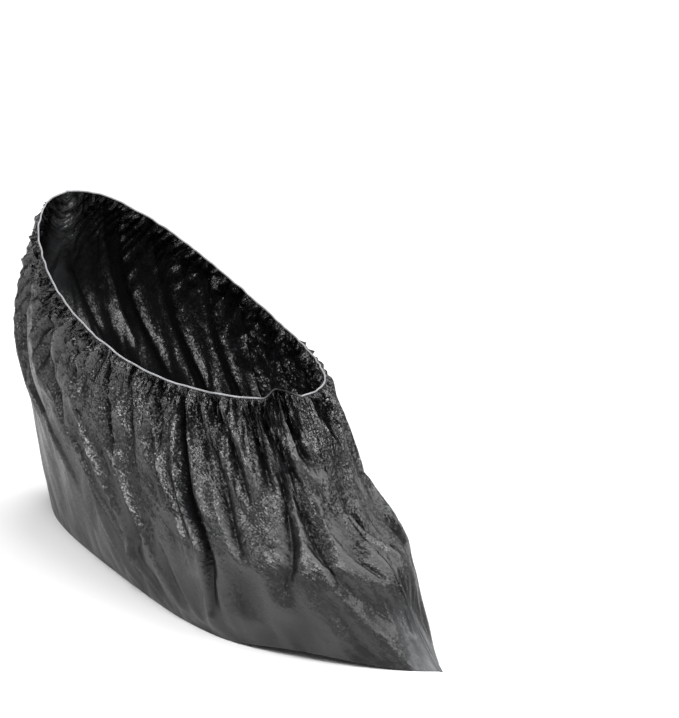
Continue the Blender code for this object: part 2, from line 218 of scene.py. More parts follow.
# %% The fold table
FOLDS = {
    OUTER_SIDE: (
        # along, down at the top; in the middle; at the foot; height mm, width mm
        (0.060, 0.10, 0.075, 0.28, 0.130, 0.50, -2.5, 4.0),
        (0.110, 0.04, 0.130, 0.20, 0.190, 0.45, 2.5, 4.0),
        (0.165, 0.05, 0.190, 0.22, 0.260, 0.50, -3.5, 4.0),
        (0.215, 0.04, 0.245, 0.22, 0.310, 0.55, 2.5, 3.5),
        (0.262, 0.03, 0.285, 0.22, 0.350, 0.55, -3.5, 3.5),
        (0.300, 0.46, 0.380, 0.60, 0.425, 0.82, 3.4, 1.8),
        (0.378, 0.36, 0.457, 0.66, 0.540, 0.97, -1.8, 2.0),
        (0.330, 0.04, 0.345, 0.18, 0.395, 0.42, 2.6, 4.0),
        (0.375, 0.04, 0.392, 0.18, 0.425, 0.36, -3.0, 3.4),
        (0.397, 0.33, 0.478, 0.66, 0.562, 0.99, 3.6, 1.8),
        (0.430, 0.50, 0.456, 0.75, 0.492, 0.98, 2.0, 1.6),
        (0.425, 0.05, 0.407, 0.20, 0.378, 0.36, 2.8, 2.2),
        (0.462, 0.03, 0.468, 0.20, 0.480, 0.44, -3.6, 3.2),
        (0.488, 0.06, 0.500, 0.50, 0.520, 0.90, 4.4, 2.0),
        (0.546, 0.03, 0.545, 0.36, 0.530, 0.74, -7.5, 3.0),
        (0.577, 0.26, 0.566, 0.58, 0.594, 0.93, 4.2, 2.0),
        (0.592, 0.03, 0.596, 0.20, 0.600, 0.40, -2.4, 3.0),
        (0.600, 0.62, 0.608, 0.80, 0.625, 0.95, 1.6, 2.0),
        (0.620, 0.03, 0.622, 0.16, 0.630, 0.34, 2.2, 3.0),
        (0.636, 0.12, 0.661, 0.40, 0.645, 0.72, 3.8, 2.0),
        (0.652, 0.03, 0.652, 0.10, 0.655, 0.20, -2.4, 2.4),
        (0.688, 0.06, 0.681, 0.46, 0.640, 0.95, 4.6, 2.2),
        (0.704, 0.02, 0.701, 0.38, 0.651, 0.88, -6.0, 2.2),
        (0.722, 0.04, 0.724, 0.20, 0.715, 0.42, 2.8, 2.8),
        (0.738, 0.02, 0.745, 0.16, 0.744, 0.28, -3.6, 2.6),
        (0.752, 0.16, 0.764, 0.32, 0.735, 0.60, -4.2, 3.0),
        (0.752, 0.03, 0.774, 0.16, 0.790, 0.34, 3.4, 3.2),
        (0.780, 0.06, 0.795, 0.15, 0.803, 0.32, -3.4, 2.8),
        (0.786, 0.02, 0.813, 0.14, 0.826, 0.28, 4.6, 4.4),
        (0.832, 0.04, 0.847, 0.14, 0.850, 0.27, -5.5, 4.0),
        (0.858, 0.02, 0.868, 0.08, 0.880, 0.16, 2.4, 2.6),
        (0.873, 0.03, 0.890, 0.13, 0.915, 0.25, -3.8, 2.8),
        (0.886, 0.01, 0.892, 0.09, 0.958, 0.25, 3.8, 3.0),
        (0.866, 0.19, 0.866, 0.32, 0.772, 0.74, -4.5, 3.0),
        (0.880, 0.24, 0.880, 0.34, 0.820, 0.60, 2.6, 3.2),
        (0.890, 0.27, 0.892, 0.36, 0.870, 0.56, -4.0, 2.8),
        (0.873, 0.44, 0.868, 0.60, 0.870, 0.74, -2.2, 2.6),
        (0.940, 0.13, 0.955, 0.17, 0.985, 0.20, -4.5, 3.6),
        (0.935, 0.28, 0.925, 0.38, 0.905, 0.52, 2.6, 3.4),
        (0.933, 0.45, 0.934, 0.56, 0.947, 0.66, -2.4, 2.4),
        (0.953, 0.76, 0.950, 0.81, 0.945, 0.87, -1.8, 2.0),
        (0.934, 0.00, 0.938, 0.05, 0.948, 0.12, -9.0, 5.5),
        (0.958, 0.05, 0.962, 0.09, 0.966, 0.13, -3.0, 5.0),
    ),
    INNER_SIDE: (
        (0.070, 0.08, 0.090, 0.26, 0.140, 0.50, -2.5, 4.0),
        (0.130, 0.05, 0.150, 0.22, 0.210, 0.50, 2.6, 4.0),
        (0.185, 0.04, 0.205, 0.22, 0.270, 0.55, -3.5, 3.8),
        (0.240, 0.04, 0.262, 0.24, 0.330, 0.60, 2.6, 3.6),
        (0.295, 0.03, 0.310, 0.24, 0.370, 0.62, -3.8, 3.6),
        (0.345, 0.05, 0.360, 0.26, 0.420, 0.70, 2.6, 3.2),
        (0.395, 0.03, 0.405, 0.22, 0.440, 0.55, -4.0, 3.2),
        (0.440, 0.04, 0.450, 0.26, 0.490, 0.70, 2.8, 3.0),
        (0.485, 0.03, 0.490, 0.24, 0.500, 0.60, -4.2, 3.2),
        (0.530, 0.04, 0.535, 0.26, 0.560, 0.72, 2.8, 3.0),
        (0.575, 0.03, 0.580, 0.22, 0.585, 0.58, -4.4, 3.2),
        (0.620, 0.04, 0.625, 0.30, 0.610, 0.82, 3.0, 3.0),
        (0.662, 0.03, 0.668, 0.24, 0.655, 0.70, -5.0, 3.2),
        (0.705, 0.04, 0.712, 0.26, 0.700, 0.66, 3.2, 3.2),
        (0.748, 0.03, 0.755, 0.20, 0.750, 0.52, -4.4, 3.0),
        (0.790, 0.03, 0.795, 0.14, 0.800, 0.30, 3.2, 3.2),
        (0.835, 0.03, 0.842, 0.14, 0.840, 0.34, -4.4, 3.2),
        (0.800, 0.30, 0.782, 0.44, 0.858, 0.62, 3.8, 4.0),
        (0.830, 0.36, 0.830, 0.48, 0.880, 0.66, -3.0, 3.2),
        (0.880, 0.03, 0.888, 0.10, 0.900, 0.20, 3.0, 3.4),
        (0.925, 0.02, 0.930, 0.08, 0.930, 0.14, -3.6, 3.0),
        (0.985, 0.06, 0.935, 0.18, 0.925, 0.28, 3.2, 3.8),
        (0.985, 0.19, 0.960, 0.34, 0.900, 0.52, -5.5, 3.4),
        (0.980, 0.38, 0.955, 0.50, 0.912, 0.60, 2.4, 2.6),
        (0.955, 0.62, 0.940, 0.72, 0.920, 0.80, -2.0, 2.6),
    ),
}
print("folds on each side:", {side: len(rows) for side, rows in FOLDS.items()})

# %% How far the folds stand out
MM = 0.001
SHARE_ALONG = 0.36  # metres of film that one whole share along stands for
SHARE_DOWN = 0.17
FOLD_PIECES = 8  # straight pieces that each fold's curve is measured by
FOLD_CUTOFF = 4  # past this many widths a fold is left out
CREST_POWER = 1.3  # 2 would round the crest, 1 would leave a knife edge
FADE_POWER = 0.4
SEAM_CALM = 0.05  # folds die away over this share of the bag's length beside each seam
SOLE_CALM = 0.08  # and over this share of the way down, above the edge of the sole


def fold_depth(side):
    """Sum over the folds of height * exp(-(distance / width)^1.3) * (4 t (1 - t))^0.4. A fold's
    curve is (1-t)^2 top + 2 t (1-t) bend + t^2 foot, and t is its place that lies nearest."""
    steps = np.linspace(0, 1, FOLD_PIECES + 1)[:, None]
    here = np.stack([ALONG * SHARE_ALONG, DOWN * SHARE_DOWN], axis=-1).reshape(-1, 1, 2)
    depth = np.zeros(ALONG.size)
    for *places, height, width in FOLDS[side]:
        top, middle, foot = np.reshape(places, (3, 2)) * (SHARE_ALONG, SHARE_DOWN)
        bend = 2 * middle - (top + foot) / 2
        line = (1 - steps) ** 2 * top + 2 * steps * (1 - steps) * bend + steps**2 * foot
        beyond = np.abs(here[:, 0] - np.clip(here[:, 0], line.min(0), line.max(0)))
        close = np.flatnonzero(beyond.max(-1) < FOLD_CUTOFF * width * MM)
        start, run = line[:-1], np.diff(line, axis=0)
        way = np.clip(((here[close] - start) * run).sum(-1) / (run**2).sum(-1), 0, 1)
        distance = np.linalg.norm(here[close] - start - way[..., None] * run, axis=-1)
        nearest = distance.argmin(axis=1)
        pick = np.arange(len(close)), nearest
        place = np.clip((nearest + way[pick]) / FOLD_PIECES, 0.001, 0.999)
        fade = (4 * place * (1 - place)) ** FADE_POWER
        crest = np.exp(-((distance[pick] / (width * MM)) ** CREST_POWER))
        depth[close] += height * MM * crest * fade
    return depth.reshape(ALONG.shape)


def calm_edges():
    """1 in the open film, and down to 0 at both seams and at the edge of the sole."""
    seams = np.clip(np.minimum(ALONG, 1 - ALONG) / SEAM_CALM, 0, 1)
    return seams * np.clip((1 - DOWN) / SOLE_CALM, 0, 1)


print("part of the film that folds freely:", round(float((calm_edges() == 1).mean()), 2))

# %% [markdown]
# ## Gathers and the pocket
#
# Right under the elastic the long folds break up into many narrow gathers. Waves of an even pitch
# would look like knitting, so their pitch, height and length wander, by noise whose seeds are
# fixed. One gather, at the front of the rim, is so big that it opens like a tube. It gets a push of
# its own.

# %% Soft noise
def soft_noise(shape, cells, seed):
    """Random numbers on a coarse grid of cells, mixed smoothly in between with 3t^2 - 2t^3."""
    values = np.random.default_rng(seed).normal(size=(cells[0] + 2, cells[1] + 2))
    for axis, (points, count) in enumerate(zip(shape, cells)):
        place = np.linspace(0, count, points)
        low = np.minimum(place.astype(int), count - 1)
        mix = place - low
        mix = mix * mix * (3 - 2 * mix)
        mix = mix[:, None] if axis == 0 else mix[None, :]
        values = values.take(low, axis) * (1 - mix) + values.take(low + 1, axis) * mix
    return values


print("soft noise reaches", round(float(np.abs(soft_noise((50, 50), (5, 5), 1)).max()), 1))

# %% Fine gathers under the elastic
GATHERS = (
    # pitch mm, height mm, the share of the way down that it fades over
    (5.2, 2.8, 0.10),
    (9.5, 2.0, 0.18),
)
PLEAT_LEAN = 0.28  # near the heel they run backwards, square to the sloping elastic
GATHER_SEED = 70
WANDER, WANDER_DOWN = 1.1, 0.8  # radians times the noise, at the rim and for each reach below it
VARIATION = 0.4  # heights and lengths vary by this times the noise, within the two ranges
LENGTH_RANGE, HEIGHT_RANGE = (0.5, 2), (0.4, 1.3)
GATHER_POWER = 1.5
HEEL_HEIGHT_SHARE, HEEL_STRETCH = 0.2, 0.12  # heights times share + along / stretch, up to 1
EDGE_HEIGHT_SHARE, EDGE_STRETCH = 0.10, 0.028  # and times share + down / stretch, up to 1


def gather_depth(side):
    """Sum over both pitches of height * fade * (1 - 2 |sin(phase / 2)|), which has thin crests
    and round valleys. The phase gains 2 pi a pitch, unevenly, and heights and lengths vary."""
    depth = np.zeros(ALONG.shape)
    for number, (pitch, height, reach) in enumerate(GATHERS):
        count = int(SHARE_ALONG / (pitch * MM))
        seeds = GATHER_SEED + 10 * number + 3 * side + np.arange(3)
        uneven, tall, far = (soft_noise((COLUMNS, 1), (count, 1), int(seed)) for seed in seeds)
        square = ALONG + PLEAT_LEAN * (1 + np.cos(pi * ALONG)) / 2 * DOWN
        phase = 2 * pi * count * square + WANDER * uneven + WANDER_DOWN * DOWN / reach * uneven
        own_reach = reach * np.clip(1 + VARIATION * far, *LENGTH_RANGE)
        fade = np.exp(-((DOWN / own_reach) ** GATHER_POWER))
        own_height = height * MM * np.clip(1 + VARIATION * tall, *HEIGHT_RANGE)
        own_height = own_height * np.clip(HEEL_HEIGHT_SHARE + ALONG / HEEL_STRETCH, 0, 1)
        depth += own_height * fade * (1 - 2 * np.abs(np.sin(phase / 2)))
    return depth * np.clip(EDGE_HEIGHT_SHARE + DOWN / EDGE_STRETCH, 0, 1)


print("gathers of each pitch along a side:", [int(SHARE_ALONG / (row[0] * MM)) for row in GATHERS])

# %% The pocket at the front of the rim
POCKET_ALONG = 0.932  # the middle of the pocket
POCKET_WIDTH, POCKET_REACH = 12 * MM, 11 * MM
POCKET_DEPTH, POCKET_LIFT = 13 * MM, 9 * MM


def pocket_push(side, outwards):
    """One big gather opens like a tube at the rim: share * (up * lift - outwards * depth), where
    share = exp(-(across / width)^6 - (below / reach)^2)."""
    across = (ALONG - POCKET_ALONG) * SHARE_ALONG / POCKET_WIDTH
    below = DOWN * SHARE_DOWN / POCKET_REACH
    share = np.exp(-(across**6) - below**2) * (side == OUTER_SIDE)
    return share[..., None] * (np.array([0, 0, POCKET_LIFT]) - POCKET_DEPTH * outwards)


folded_wall = {}
for side in (OUTER_SIDE, INNER_SIDE):
    outwards = directions(smooth_wall[side], side)[2]
    depth = (fold_depth(side) + gather_depth(side)) * calm_edges()
    folded_wall[side] = smooth_wall[side] + depth[..., None] * outwards + pocket_push(side, outwards)
    print("folds on side", side, "reach", round(depth.min() / MM, 1), round(depth.max() / MM, 1), "mm")

# %% [markdown]
# ## Crinkles: film with no room to lie flat
#
# Real crinkles have sharp crests and flat facets between them, which no sum of waves has. They
# come from film that is wider than the room it has. So the film is simulated: each link between
# two points of the grid gets the length of the smooth surface times a little more, most of it
# across the gathers under the rim, and the points are moved until the links have that length.
# The film buckles by itself. It is done on a coarse grid first, then on finer ones, and each adds
# its own size of crinkle. Only whole arrays are moved, every second link at a time, so the
# result is the same on each run.

# %% Links between the points
LINKS = ((1, 0), (0, 1), (1, 1), (1, -1))  # along, down and both diagonals
print("kinds of link between the points:", len(LINKS))


def link_ends(step, odd):
    """The slices of a grid that give both ends of every second link of one kind."""
    along_step, down_step = step
    if along_step:
        first, second = slice(odd, -1, 2), slice(odd + 1, None, 2)
        rows = {0: (slice(None), slice(None)), 1: (slice(0, -1), slice(1, None))}
        rows[-1] = rows[1][::-1]
        return (first, rows[down_step][0]), (second, rows[down_step][1])
    return (slice(None), slice(odd, -1, 2)), (slice(None), slice(odd + 1, None, 2))


def film_lengths(grid, across, width_more, down_more, downwards):
    """Each link's length in the flat film: link^2 plus the share of it that lies across the
    gathers, or down them, times ((1 + more)^2 - 1)."""
    lengths = {}
    for step in LINKS:
        for odd in (0, 1):
            a, b = link_ends(step, odd)
            link = grid[b] - grid[a]
            wide = ((across[a] + across[b]) / 2 * link).sum(-1) ** 2
            high = ((downwards[a] + downwards[b]) / 2 * link).sum(-1) ** 2
            more = (1 + (width_more[a] + width_more[b]) / 2) ** 2 - 1
            taller = (1 + (down_more[a] + down_more[b]) / 2) ** 2 - 1
            lengths[step, odd] = np.sqrt((link**2).sum(-1) + wide * more + high * taller)
    return lengths


# %% Let the film buckle
def spread(values):
    """Each point's four neighbours' mean less the point, with the edges repeated."""
    padded = np.pad(values, ((1, 1), (1, 1), (0, 0)), mode="edge")
    around = padded[2:, 1:-1] + padded[:-2, 1:-1] + padded[1:-1, 2:] + padded[1:-1, :-2]
    return around / 4 - values


def buckle(base, offset, lengths, free, cap, outwards, rounds, stiff):
    """Moves base + offset until its links have the wanted lengths. After each round the offset
    is smoothed by stiff * spread(spread(offset)), which is the film's stiffness in bending, and
    its way out or in is held within the cap."""
    loose = free[..., None]
    for _ in range(rounds):
        points = base + offset
        for (step, odd), wanted in lengths.items():
            a, b = link_ends(step, odd)
            link = points[b] - points[a]
            length = np.maximum(np.sqrt((link**2).sum(-1)), 1e-9)
            push = link * (0.45 * (length - wanted) / length)[..., None]
            points[a] += push * loose[a]
            points[b] -= push * loose[b]
        offset = points - base
        offset -= stiff * loose * spread(spread(offset))
        out = (offset * outwards).sum(-1)
        too_far = out - np.clip(out, -cap[0], cap[1])
        offset -= too_far[..., None] * outwards
    return offset


def finer(offset, shape):
    """A coarse grid of offsets, mixed straight in between, on a finer grid."""
    for axis in (0, 1):
        place = np.linspace(0, offset.shape[axis] - 1, shape[axis])
        low = np.minimum(place.astype(int), offset.shape[axis] - 2)
        mix = place - low
        mix = mix[:, None, None] if axis == 0 else mix[None, :, None]
        offset = offset.take(low, axis) * (1 - mix) + offset.take(low + 1, axis) * mix
    return offset


# %% Three sizes of crinkle
LEVELS = (
    # columns, rows, more width at the rim, more width below, more height, rounds, start mm,
    # stiffness, cap mm
    (100, 36, 0.12, 0.055, 0.030, 140, 1.0, 0.28, 4.5),
    (199, 62, 0.22, 0.060, 0.022, 120, 0.8, 0.14, 3.2),
    (COLUMNS, WALL_ROWS, 0.40, 0.055, 0.020, 90, 0.5, 0.06, 2.2),
)
RIM_ZONE = 0.10  # the share of the way down over which the gathers' spare width is used up
HEEL_SPARE_SHARE, HEEL_SPARE_STRETCH = 0.3, 0.1  # there is less of it beside the heel seam
CREASE_DRIFT = 0.35  # the creases run forward by this much for each step down
DRIFT_END, DRIFT_STRETCH = 0.62, 0.3  # none past this share along, nor at the rim itself
SMOOTH_BELOW = 0.62  # the film lies nearly smooth below this share of the way down
TOE_DEEPER, TOE_START, TOE_STRETCH = 0.45, 0.5, 0.2  # over the toes the crinkles reach lower
CALM_STRETCH, CALM_LEAST = 0.5, 0.10
PATCH_CELLS, PATCH_STRENGTH, PATCH_RANGE = (14, 5), 0.5, (0.2, 2)
SEAM_HOLD, SOLE_HOLD, RIM_HOLD, RIM_FREEDOM = 0.02, 0.03, 0.02, 0.1
INWARD_MORE = 1.3  # film may move this many times as far in as out
RIM_CAP_SHARE = 0.4
SIDE_SEEDS = {OUTER_SIDE: 11, INNER_SIDE: 23}


def spare_film(along, down, rim_more, more, taller, patchy):
    """How much wider and taller the film is than its room: rim_more * exp(-down / zone) under
    the elastic, and more, or taller, times a calm share and a patchy one below it."""
    limit = SMOOTH_BELOW + TOE_DEEPER * np.clip((along - TOE_START) / TOE_STRETCH, 0, 1)
    calm = np.clip((1 - down / limit) / CALM_STRETCH, CALM_LEAST, 1)
    patchy = np.clip(patchy, *PATCH_RANGE)
    beside_heel = np.clip(HEEL_SPARE_SHARE + along / HEEL_SPARE_STRETCH, 0, 1)
    width_more = rim_more * beside_heel * np.exp(-down / RIM_ZONE) + more * calm * patchy
    return width_more, taller * calm * patchy


def free_share(along, down):
    """1 in the open film, down to 0 in the seams and at the sole's edge, and 0.1 at the rim."""
    seams = np.clip(np.minimum(along, 1 - along) / SEAM_HOLD, 0, 1)
    above_sole = np.clip((1 - down) / SOLE_HOLD, 0, 1)
    return seams * above_sole * np.clip(RIM_FREEDOM + down / RIM_HOLD, 0, 1)


def crinkled(side):
    """The folded wall, buckled at each level in turn, coarse to fine."""
    seed = SIDE_SEEDS[side]
    offset = np.zeros((2, 2, 3))
    for number, level in enumerate(LEVELS):
        columns, rows, rim_more, more, taller, rounds, start, stiff, most = level
        pick_a = np.linspace(0, COLUMNS - 1, columns).round().astype(int)
        pick_d = np.linspace(0, WALL_ROWS - 1, rows).round().astype(int)
        base = folded_wall[side][np.ix_(pick_a, pick_d)]
        along, down = ALONG[np.ix_(pick_a, pick_d)], DOWN[np.ix_(pick_a, pick_d)]
        ahead, below, outwards = directions(base, side)
        drift = CREASE_DRIFT * np.clip((DRIFT_END - along) / DRIFT_STRETCH, 0, 1)
        drift = drift * np.clip(down / DRIFT_STRETCH, 0, 1)
        creases = unit(below + drift[..., None] * ahead)
        across = unit(np.cross(outwards, creases))
        patchy = 1 + PATCH_STRENGTH * soft_noise(base.shape[:2], PATCH_CELLS, seed + number)
        width_more, down_more = spare_film(along, down, rim_more, more, taller, patchy)
        lengths = film_lengths(base, across, width_more, down_more, creases)
        free = free_share(along, down)
        rim = np.exp(-down / RIM_ZONE)
        patches = soft_noise(base.shape[:2], (columns // 4, rows // 9), seed + 40 + number)
        pleats = soft_noise(base.shape[:2], (columns // 3, 6), seed + 50 + number)
        push = (patches * (1 - rim) + pleats * rim) * start * MM * free
        offset = finer(offset, base.shape[:2]) + push[..., None] * outwards
        cap = np.full(base.shape[:2], most * MM) * np.clip(RIM_CAP_SHARE + down / RIM_HOLD, 0, 1)
        caps = (cap * INWARD_MORE, cap)
        offset = buckle(base, offset, lengths, free, caps, outwards, rounds, stiff)
    return folded_wall[side] + offset


wall = {side: crinkled(side) for side in folded_wall}
for side in wall:
    moved = np.linalg.norm(wall[side] - folded_wall[side], axis=-1)
    print("crinkles on side", side, "mean", round(moved.mean() / MM, 2), "mm")

# %% [markdown]
# ## The tied edge
#
# The elastic is a smooth loop, and the film's edge is welded to it. So the buckled edge is
# smoothed into one even line first, and the film just below is moved along with it. The elastic's
# own mesh follows the same line further on.

# %% Tie the film's edge to the elastic
EDGE_ROUNDS = 20
TIED_SHARE = 0.04  # the film follows its edge over this share of the way down


def rounded(line, rounds):
    """Each point moved halfway to the mean of its neighbours, a number of times."""
    for _ in range(rounds):
        line = line / 2 + (np.roll(line, 1, axis=0) + np.roll(line, -1, axis=0)) / 4
    return line


def rim_loop(row):
    """One row of the outer side from heel to toe, then of the inner side back to the heel."""
    return np.concatenate([wall[OUTER_SIDE][:, row], wall[INNER_SIDE][-2:0:-1, row]])


elastic_line = rounded(rim_loop(0), EDGE_ROUNDS)
inner_edge = np.roll(elastic_line[::-1], 1, axis=0)[:COLUMNS]
tied = np.clip(1 - down_shares / TIED_SHARE, 0, 1) ** 2
for side, edge in ((OUTER_SIDE, elastic_line[:COLUMNS]), (INNER_SIDE, inner_edge)):
    shift = (edge - wall[side][:, 0])[:, None]
    wall[side] = wall[side] + shift * tied[None, :, None]
rim_steps = np.linalg.norm(np.roll(elastic_line, -1, axis=0) - elastic_line, axis=-1)
print("length of the rim:", round(float(rim_steps.sum()), 3), "m")

# %% [markdown]
# ## From grids to closed meshes
#
# Each side of the bag is carried on under the foot to the fold in the middle of the sole, so the
# two sides meet there and at the welds, as the folded sheet does. A grid gets a second layer a
# film's thickness inwards, and strips close it all round.

# %% A grid as a closed sheet
def grid_quads(columns, rows, start=0, flip=False):
    """The four corners of each cell of a grid whose points are stored column by column."""
    corner = start + np.arange(columns - 1)[:, None] * rows + np.arange(rows - 1)[None, :]
    corner = corner.ravel()
    quads = np.stack([corner, corner + rows, corner + rows + 1, corner + 1], axis=1)
    return quads[:, ::-1] if flip else quads


def mesh_from(name, points, quads, flat_places=None, smooth_angle=70):
    """A mesh filled with whole arrays: point places, the corners of each face, face starts, and
    the UV map "flat" if each point's place on the flat film is given, in metres."""
    mesh = bpy.data.meshes.new(name)
    mesh.vertices.add(len(points))
    mesh.vertices.foreach_set("co", points.astype(np.float32).ravel())
    mesh.loops.add(quads.size)
    mesh.loops.foreach_set("vertex_index", quads.astype(np.int32).ravel())
    mesh.polygons.add(len(quads))
    mesh.polygons.foreach_set("loop_start", np.arange(0, quads.size, 4, dtype=np.int32))
    mesh.update(calc_edges=True)
    if flat_places is not None:
        flat = mesh.uv_layers.new(name="flat")
        flat.data.foreach_set("uv", flat_places[quads.ravel()].astype(np.float32).ravel())
    mesh.shade_smooth()
    mesh.set_sharp_from_angle(angle=radians(smooth_angle))
    return mesh


def sheet_mesh(name, grid, side, thickness, flat_places):
    """The grid, the grid again a thickness inwards along -normal, and four closing strips."""
    columns, rows = grid.shape[:2]
    outwards = directions(grid, side)[2]
    points = np.concatenate([grid.reshape(-1, 3), (grid - thickness * outwards).reshape(-1, 3)])
    layer = columns * rows
    numbers = np.arange(layer).reshape(columns, rows)
    flip = side < 0
    quads = [grid_quads(columns, rows, 0, flip), grid_quads(columns, rows, layer, not flip)]
    edges = (numbers[:, 0][::-1], numbers[:, -1], numbers[0], numbers[-1][::-1])
    for edge in edges:
        strip = np.stack([edge[:-1], edge[:-1] + layer, edge[1:] + layer, edge[1:]], axis=1)
        quads.append(strip[:, ::-1] if flip else strip)
    return mesh_from(name, points, np.concatenate(quads), np.tile(flat_places, (2, 1)))


def add_piece(mesh, material, nodes, body="root"):
    """Puts a mesh in the scene, riding on the body, in place of the CAD nodes it stands for."""
    mesh.materials.append(material)
    piece = bpy.data.objects.new(mesh.name, mesh)
    bpy.context.scene.collection.objects.link(piece)
    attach(piece, body)
    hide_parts(*nodes)
    print(mesh.name, "has", len(mesh.polygons) * 2, "triangles")
    return piece


# %% The two sides with their halves of the sole
sole_shares = np.linspace(0, 1, SOLE_ROWS + 1)[1:]


def with_sole(side):
    """Rows of the sole: edge * (1 - t) + fold * t, where the fold is midway between the edges."""
    edge = wall[side][:, -1:]
    fold = (wall[OUTER_SIDE][:, -1:] + wall[INNER_SIDE][:, -1:]) / 2
    share = sole_shares[None, :, None]
    sole = edge * (1 - share) + fold * share
    return np.concatenate([wall[side], sole], axis=1)


halves = {side: with_sole(side) for side in wall}
print("points of each half:", halves[OUTER_SIDE].shape[:2])

# %% [markdown]
# ## The film's finish
#
# The film is blown low-density polyethylene, pigmented black and embossed while warm. It is a
# half-gloss plastic, and the emboss breaks every highlight into specks. Where only the two welded
# films lie together, past the shoe, light comes through and they look grey; that grey is painted
# into the colour. Valleys and the gathers under the elastic are painted darker, and made to reflect
# less, as painted shade.

# %% Colour and nodes
def linear(code):
    """sRGB hex to linear: c / 12.92 below 0.04045, else ((c + 0.055) / 1.055)^2.4."""
    srgb = np.array([int(code[place : place + 2], 16) for place in (1, 3, 5)]) / 255
    values = np.where(srgb <= 0.04045, srgb / 12.92, ((srgb + 0.055) / 1.055) ** 2.4)
    return (*values.tolist(), 1.0)


def add_node(tree, kind, settings=(), inputs=(), links=()):
    """Adds one node: its settings, its sockets' values, and (from socket, to input) links."""
    node = tree.nodes.new(kind)
    for key, value in dict(settings).items():
        setattr(node, key, value)
    for key, value in dict(inputs).items():
        node.inputs[key].default_value = value
    for source, key in links:
        tree.links.new(source, node.inputs[key])
    return node


def new_material(name):
    """An empty material with its output and a Principled shader."""
    material = bpy.data.materials.new(name)
    material.use_nodes = True
    tree = material.node_tree
    return material, tree, tree.nodes["Principled BSDF"]


# %% Blown black polyethylene
EMBOSS_PITCH = 0.8 * MM  # a guess: the emboss of such film is taken to be 0.5 to 1 mm
EMBOSS_TILT = 0.6  # each embossed facet leans by up to half of this, as a slope
CRUMPLE_PITCH = 5.0 * MM
CRUMPLE_DEPTH = 0.6 * MM
CREASE_PITCH = 1.6 * MM  # hairline creases that run forward and down
CREASE_LENGTH = 9 * MM
CREASE_TURN = radians(35)
CREASE_DEPTH = 0.5 * MM
PLEAT_PITCH = 2.0 * MM  # the finest gathers under the elastic, narrower than the grid can draw
PLEAT_LENGTH = 10 * MM
PLEAT_DEPTH = 3.0 * MM
# The first colour is painted shade, used in valleys, in the gathers and on the covered thread; the
# second is the film's black as drawn on crests; the third is a painted grey that stands for light
# coming through the film.
FILM_PAINTED_SHADE, FILM_BLACK, FILM_PAINTED_LIGHT_THROUGH = "#0C0C0D", "#151618", "#66686A"
ROUGH_LEAST, ROUGH_MOST = 0.36, 0.50
WORKED_GLOSS = 0.17  # crumpled film is this much less rough than film that lies smooth
SHINE_PAINTED_SHADE, SHINE_CREST = 0.31, 0.79  # both faces of the film reflect; the low level in a valley is painted shade
